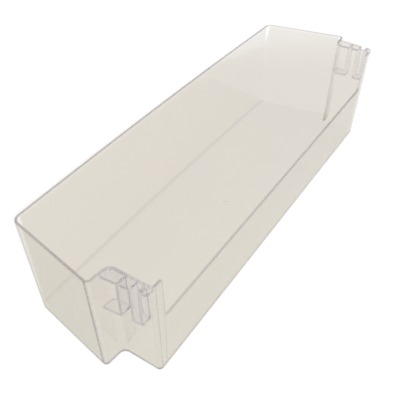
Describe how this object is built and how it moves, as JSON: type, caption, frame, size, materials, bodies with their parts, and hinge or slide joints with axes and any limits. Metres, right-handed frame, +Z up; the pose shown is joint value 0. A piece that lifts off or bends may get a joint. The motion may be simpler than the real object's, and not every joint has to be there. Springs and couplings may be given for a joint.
{
  "type": "fridge door shelf",
  "caption": "Clear moulded fridge door shelf: long open tray with a tall bowed front, low back and stepped ends whose slotted hooks drop over lugs on the door.",
  "frame": {"origin": "under the middle of the tray, on the surface it stands on", "axes": "+X along the length, -Y towards the tall front, +Y towards the low back and the door, +Z up"},
  "size_m": [0.4684, 0.1399, 0.1116],
  "materials": {
    "clear_plastic": "clear, glossy, faintly warm"
  },
  "bodies": {
    "root": {"door_shelf": "clear_plastic"}
  },
  "joints": []
}
